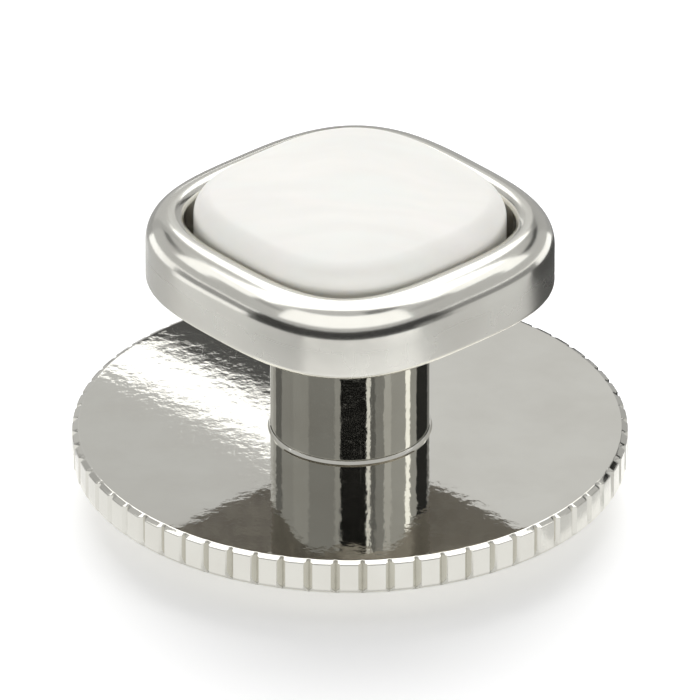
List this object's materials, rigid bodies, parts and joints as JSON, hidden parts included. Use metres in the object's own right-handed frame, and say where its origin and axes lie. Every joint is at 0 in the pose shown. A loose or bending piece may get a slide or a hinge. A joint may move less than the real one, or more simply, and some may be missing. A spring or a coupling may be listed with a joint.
{
  "type": "shirt stud",
  "caption": "Dress shirt stud with a knurled back disc, a sprung telescoping shank and a cushion-shaped bezel set with mother-of-pearl.",
  "frame": {"origin": "middle of the flat land under the back disc, on the stud's own axis, where it stands", "axes": "+Z from the back disc along the shank to the stone, X and Y through the corners of the cushion-shaped head"},
  "size_m": [0.015, 0.015, 0.0094],
  "materials": {
    "disc_metal": "polished plated brass",
    "setting_metal": "polished plated brass",
    "shell": "polished mother-of-pearl",
    "pin_metal": "bright turned steel"
  },
  "bodies": {
    "back": {"back_disc": "disc_metal"},
    "post": {"pin": "pin_metal"},
    "head": {"head_setting": "setting_metal", "stone": "shell"}
  },
  "joints": [
    {"name": "pull_out", "type": "slide", "parent": "back", "child": "post", "axis": [0, 0, 1], "range_m": [0, 0.0018], "stiffness_N_per_m": 200, "springref_m": -0.003},
    {"name": "spin", "type": "hinge", "parent": "post", "child": "head", "pos_m": [0, 0, 0.0063], "axis": [0, 0, 1], "continuous": true}
  ]
}
